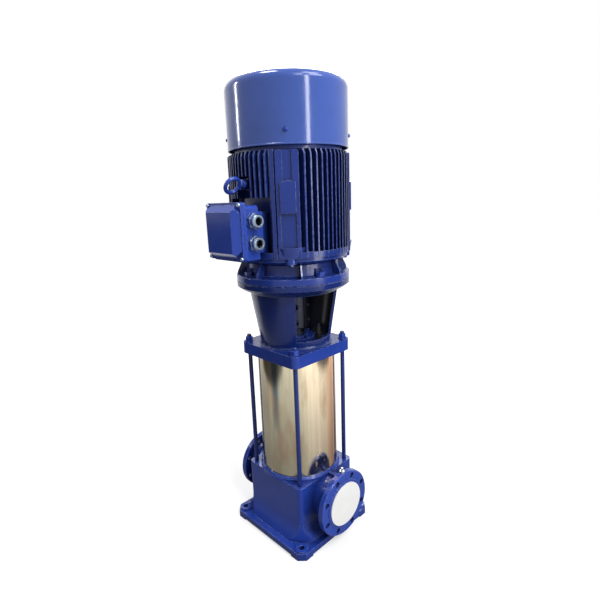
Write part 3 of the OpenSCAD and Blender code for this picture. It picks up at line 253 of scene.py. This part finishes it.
def polished_tube(name):
    """Bright drawn tube: long vertical polishing marks over painted reflections, in bands round the axis
    and in warm clouds.
    """
    k = Mat(name)
    pos = k.n("ShaderNodeSeparateXYZ")
    k.link(k.coord.outputs["Object"], pos.inputs[0])
    turn = k.math("DIVIDE", k.math("ARCTAN2", pos.outputs[1], pos.outputs[0]), 2 * math.pi)
    wander = k.ramp(k.noise(2.0, 1.0, vector=k.stretched(1, 1, 1.0)), 0.3, 0.7, -0.005, 0.005)
    turn = k.math("ADD", k.math("ADD", turn, 0.5), wander)
    band = k.n("ShaderNodeValToRGB")
    cr = band.color_ramp
    while len(cr.elements) < len(TUBE_PAINTED_REFLECTIONS):
        cr.elements.new(0.5)
    for e, (at, c) in zip(cr.elements, TUBE_PAINTED_REFLECTIONS):
        e.position = at
        e.color = (c[0], c[1], c[2], 1.0)
    k.link(turn, band.inputs[0])
    # the narrow dark band, a painted reflection, fades out towards the foot of the tube
    foot = k.math("MULTIPLY", k.ramp(turn, 0.3, 0.33, 1.0, 0.0),
                  k.ramp(pos.outputs[2], 0.45, 0.37, 0.0, 0.85))
    body = k.mix(foot, band.outputs[0], (0.5, 0.45, 0.32, 1.0))
    marks = k.noise(1.0, 5.0, 0.65, k.stretched(110.0, 110.0, 1.6))
    cloud = k.noise(14.0, 4.0, 0.6, k.stretched(1.0, 1.0, 0.35))
    tone = k.mix(k.ramp(marks, 0.4, 0.72, 0.0, 0.2), body, (0.16, 0.15, 0.12, 1.0))
    tone = k.mix(k.ramp(cloud, 0.5, 0.75, 0.0, 0.3), tone, (0.62, 0.58, 0.46, 1.0))
    # painted reflection: brown clouds over the bands
    warm = k.noise(13.0, 3.0, 0.55, k.stretched(1.6, 1.6, 0.45))
    tone = k.mix(k.ramp(warm, 0.5, 0.66, 0.0, 0.5), tone, (0.45, 0.27, 0.15, 1.0))
    k.link(tone, k.p.inputs["Base Color"])
    k.p.inputs["Metallic"].default_value = 1.0
    k.link(k.ramp(cloud, 0.25, 0.75, 0.1, 0.2), k.p.inputs["Roughness"])
    k.link(k.bump(marks, 0.07, 0.00008), k.p.inputs["Normal"])
    return k.m


# One enamel written at several depths, darker on the castings that the photograph shows in shade
FOOT_TOP = 0.648  # just above the stool's square foot
BLUE = srgb(39, 69, 168)
COWL_BLUE = srgb(54, 82, 160)
M = {
    "cast": paint("enamel_on_casting", scaled(BLUE, 0.96), 0.22, 0.35, 0.12, radius=0.0025,
                  wear_and_highlight=0.3, painted_cavity_shade=0.75, reach=0.09),
    # the finned frame, the drive shield and the stool are darker copies of the enamel: painted shade
    "frame": paint("enamel_on_finned_frame_painted_shade", scaled(BLUE, 0.54), 0.22, 0.3, 0.12, radius=0.0016,
                   wear_and_highlight=0.5, painted_cavity_shade=0.95, reach=0.055),
    "shield": paint("enamel_on_shield_painted_shade", scaled(BLUE, 0.66), 0.22, 0.35, 0.12, radius=0.0022,
                    wear_and_highlight=0.45, painted_cavity_shade=0.9, reach=0.05),
    "stool": paint("enamel_on_stool_painted_shade", scaled(BLUE, 0.36), 0.22, 0.35, 0.12, radius=0.0025,
                   painted_inner_shade=faces_axis, coat=0.08, foot=FOOT_TOP),
    "head": paint("enamel_on_head", BLUE, 0.22, 0.35, 0.12, radius=0.0025, painted_inner_shade=near_axis),
    "sheet": paint("enamel_on_sheet", COWL_BLUE, 0.17, 0.04, 0.08, radius=0.0008, wear_and_highlight=0.12, coat=0.38),
    "bolt": paint("enamel_on_fasteners", scaled(BLUE, 0.9), 0.3, 0.1, 0.1, radius=0.0006, wear_and_highlight=0.5),
    "rod": paint("enamel_on_rods", scaled(BLUE, 0.46), 0.3, 0.1, 0.1, radius=0.0006, wear_and_highlight=0.4),
    # the seal cover inside the stool window is a darker copy of the enamel: painted shade
    "seal": paint("enamel_on_seal_cover_painted_shade", scaled(BLUE, 0.4), 0.35, 0.2, 0.1),
    "barrel": polished_tube("polished_stainless"),
    "stainless": metal("pressed_stainless", (0.66, 0.66, 0.65, 1.0), 0.22),
    "steel": metal("machined_steel", (0.5, 0.5, 0.51, 1.0), 0.28),
    "turned": metal("turned_steel", (0.56, 0.56, 0.57, 1.0), 0.22, streak=(30.0, 30.0, 900.0)),
    "iron": metal("bare_casting", (0.2, 0.2, 0.21, 1.0), 0.5, grain=0.9),
    "gland": metal("plated_gland", (0.3, 0.37, 0.48, 1.0), 0.3, grain=0.3, radius=0.0012),
    "zinc": metal("zinc_plating", (0.62, 0.62, 0.58, 1.0), 0.3),
    "bronze": metal("bearing_bronze", (0.55, 0.36, 0.16, 1.0), 0.3),
    "alu": metal("cast_aluminium", (0.6, 0.61, 0.63, 1.0), 0.35),
    "core": metal("stacked_sheets", (0.3, 0.3, 0.31, 1.0), 0.4, streak=(8.0, 8.0, 1400.0), grain=0.9),
    "copper": plain("varnished_windings", (0.36, 0.1, 0.03, 1.0), 0.3, scale=520.0, grain=0.9),
    "rubber": plain("gasket_rubber", (0.02, 0.02, 0.021, 1.0), 0.62, scale=700.0, grain=0.5),
    "coupling": metal("blackened_coupling", (0.035, 0.038, 0.055, 1.0), 0.45, grain=0.7),
    "black": plain("black_plastic", (0.022, 0.022, 0.024, 1.0), 0.38),
    "white": plain("white_cover", (0.86, 0.87, 0.87, 1.0), 0.45, vary=0.03),
}
USES = {
    "cast": ["base_casting", "outlet_flange", "inlet_flange", "fan_shield",
             "terminal_box", "terminal_lid", "eye_bolt"],
    "frame": ["motor_frame"],
    "shield": ["drive_shield"],
    "stool": ["motor_stool"],
    "head": ["pump_head"],
    "sheet": ["fan_cowl"],
    "rod": ["tie_rods"],
    "bolt": ["tie_nuts", "tie_washers", "joint_bolts", "shield_bolts", "cowl_screws"],
    "gland": ["gland_bodies", "gland_nuts", "lid_screws"],
    "seal": ["seal_gland", "seal_gland_bolts"],
    "barrel": ["barrel"],
    "stainless": ["impellers", "shaft_sleeves"],
    "steel": ["shaft_nut", "drain_plug"],
    "turned": ["pump_shaft", "motor_shaft", "drive_bearing_inner", "drive_bearing_outer",
               "fan_bearing_inner", "fan_bearing_outer", "bearing_balls"],
    "iron": ["stage_chambers", "guide_vanes", "intake_bowl"],
    # seal_head carries the near-black coupling finish as painted shade inside the stool window
    "coupling": ["coupling_half_a", "coupling_half_b", "coupling_bolts", "seal_head", "vent_screw"],
    "zinc": ["gauge_plug"],
    "bronze": ["lower_bearing"],
    "alu": ["rotor_rings"],
    "core": ["stator_core", "rotor_core"],
    "copper": ["stator_windings"],
    "rubber": ["barrel_gaskets", "terminal_gasket"],
    "black": ["vent_plug", "cooling_fan", "terminal_block"],
    "white": ["outlet_cover", "inlet_cover"],
}
for key, names in USES.items():
    for name in names:
        slots = nodes[name].data.materials
        slots.clear()
        slots.append(M[key])

# Camera at the photograph's viewing angle, solved from the pump's own edges
PHOTO_PX = 600.0
FOCAL_PX = 441.79
SENSOR_MM = 36.0
EYE = (1.00020, -0.93944, 1.09273)
forward = Vector((-0.70120699, 0.67675775, -0.22429379)).normalized()
up = Vector((-0.13606683, 0.18178438, 0.97387897)).normalized()
right = forward.cross(up).normalized()
cam_data = bpy.data.cameras.new("camera")
cam_data.sensor_width = SENSOR_MM
cam_data.lens = FOCAL_PX / PHOTO_PX * SENSOR_MM
cam_data.clip_start = 0.05
cam_data.clip_end = 60.0
cam = bpy.data.objects.new("camera", cam_data)
cam.matrix_world = Matrix(((right.x, up.x, -forward.x, EYE[0]), (right.y, up.y, -forward.y, EYE[1]),
                           (right.z, up.z, -forward.z, EYE[2]), (0, 0, 0, 1)))
bpy.context.scene.collection.objects.link(cam)
bpy.context.scene.camera = cam


# Soft boxes: name, place, aim, size in metres, watts, colour
WARM = (1.0, 0.98, 0.95)
PLAIN = (1, 1, 1)
LAMPS = [
    ("key", (1.8, 0.6, 3.3), (0, 0, 0.7), (1.1, 1.3), 42, WARM),
    ("front", (2.2, -0.75, 3.0), (0, 0, 1.2), (0.6, 0.5), 34, PLAIN),
    ("top", (-0.3, -0.5, 3.3), (0, 0, 1.0), (0.5, 0.5), 18, PLAIN),
    ("strip_right", (2.2, -0.26, 1.75), (0, 0, 1.2), (0.24, 1.3), 18, PLAIN),
    ("strip_left", (-1.75, -1.35, 1.95), (0, 0, 1.35), (0.09, 0.9), 15, PLAIN),
    ("low_right", (2.2, 0.3, 0.9), (0, 0, 0.1), (0.7, 0.9), 15, WARM),
    ("back", (-1.8, 1.8, 2.6), (0, 0, 0.8), (1.2, 1.2), 52, PLAIN),
]


def lamp(name, place, aim, size, watts, colour):
    data = bpy.data.lights.new(name, "AREA")
    data.shape = "RECTANGLE"
    data.size, data.size_y = size
    data.energy = watts
    data.color = colour
    o = bpy.data.objects.new(name, data)
    o.location = place
    o.rotation_euler = (Vector(aim) - Vector(place)).to_track_quat("-Z", "Y").to_euler()
    bpy.context.scene.collection.objects.link(o)


for row in LAMPS:
    lamp(*row)


def card(name, centre, width, height, tone):
    """A grey card that keeps the white surroundings out of one side of the gloss."""
    mesh = bpy.data.meshes.new(name)
    b = bmesh.new()
    c = Vector(centre)
    away = Vector((c.x, c.y, 0)).normalized()
    side = Vector((-away.y, away.x, 0)) * (width / 2)
    rise = Vector((0, 0, height / 2))
    b.faces.new([b.verts.new(c + side * i + rise * j) for i, j in ((-1, -1), (1, -1), (1, 1), (-1, 1))])
    b.to_mesh(mesh)
    b.free()
    o = bpy.data.objects.new(name, mesh)
    bpy.context.scene.collection.objects.link(o)
    m = Mat(name)
    m.p.inputs["Base Color"].default_value = (tone, tone, tone * 1.1, 1.0)
    m.p.inputs["Roughness"].default_value = 0.9
    m.p.inputs["Specular IOR Level"].default_value = 0.0
    mesh.materials.append(m.m)
    # it acts in reflections alone: it is not seen, throws no shadow and lights nothing
    o.visible_camera = False
    o.visible_diffuse = False
    o.visible_shadow = False


card("card_left", (-0.62, -1.1, 0.5), 1.9, 0.98, 0.11)
card("card_right", (1.15, 0.95, 0.5), 1.3, 0.98, 0.2)

ROOM_TINT = (0.95, 0.96, 1.0, 1.0)
ROOM_LIGHT = 0.12
world = bpy.data.worlds.new("world")
world.use_nodes = True
bpy.context.scene.world = world


def shown_white(tree):
    """1 for the rays that look at the background, 0 for those that only light."""
    path = tree.nodes.new("ShaderNodeLightPath")
    total = path.outputs["Is Camera Ray"]
    for name in ("Is Glossy Ray", "Is Transmission Ray"):
        add = tree.nodes.new("ShaderNodeMath")
        add.operation = "ADD"
        add.use_clamp = True
        tree.links.new(total, add.inputs[0])
        tree.links.new(path.outputs[name], add.inputs[1])
        total = add.outputs[0]
    return total


wt = world.node_tree
wt.nodes.clear()
w_out = wt.nodes.new("ShaderNodeOutputWorld")
w_mix = wt.nodes.new("ShaderNodeMixShader")
w_lit = wt.nodes.new("ShaderNodeBackground")
w_seen = wt.nodes.new("ShaderNodeBackground")
w_lit.inputs[0].default_value = ROOM_TINT
w_lit.inputs[1].default_value = ROOM_LIGHT
w_seen.inputs[0].default_value = (1, 1, 1, 1)
w_seen.inputs[1].default_value = 1.0
wt.links.new(shown_white(wt), w_mix.inputs[0])
wt.links.new(w_lit.outputs[0], w_mix.inputs[1])
wt.links.new(w_seen.outputs[0], w_mix.inputs[2])
wt.links.new(w_mix.outputs[0], w_out.inputs[0])

# Plain pale floor that runs into the white background and keeps the object's shadow
FLOOR_HALF = 9.0
NEAR, FAR = 0.45, 1.9  # distance from the axis over which the floor turns white
SEEN_TONE, MIRRORED_TONE, LIGHTING_TONE = 0.6, 0.3, 0.33
SEEN_GLOW, MIRRORED_GLOW = 0.5, 0.05
floor_mesh = bpy.data.meshes.new("floor")
bm = bmesh.new()
bmesh.ops.create_grid(bm, x_segments=1, y_segments=1, size=FLOOR_HALF)
bm.to_mesh(floor_mesh)
bm.free()
floor = bpy.data.objects.new("floor", floor_mesh)
bpy.context.scene.collection.objects.link(floor)
fm = Mat("floor")
fm.t.nodes.remove(fm.p)
far = fm.n("ShaderNodeVectorMath", operation="LENGTH")
fm.link(fm.coord.outputs["Object"], far.inputs[0])
path = fm.n("ShaderNodeLightPath")
# near the object the floor is mirrored darker than the camera sees it, to keep the low faces deep
level = fm.mix(path.outputs["Is Camera Ray"], grey(MIRRORED_TONE), grey(SEEN_TONE))
base_glow = fm.ramp(path.outputs["Is Camera Ray"], 0.0, 1.0, MIRRORED_GLOW, SEEN_GLOW)
glow = fm.n("ShaderNodeEmission")
far_glow = fm.ramp(far.outputs["Value"], NEAR, FAR, 0.0, 1.0)
fm.link(fm.math("MAXIMUM", base_glow, far_glow), glow.inputs["Strength"])
seen = fm.n("ShaderNodeBsdfDiffuse")
fm.link(level, seen.inputs["Color"])
lit = fm.n("ShaderNodeBsdfDiffuse")
lit.inputs["Color"].default_value = grey(LIGHTING_TONE)
both = fm.n("ShaderNodeAddShader")
fm.link(glow.outputs[0], both.inputs[0])
fm.link(seen.outputs[0], both.inputs[1])
pick = fm.n("ShaderNodeMixShader")
fm.link(shown_white(fm.t), pick.inputs[0])
fm.link(lit.outputs[0], pick.inputs[1])
fm.link(both.outputs[0], pick.inputs[2])
fm.link(pick.outputs[0], fm.out.inputs[0])
floor.data.materials.append(fm.m)

bpy.context.scene.view_settings.view_transform = "Standard"
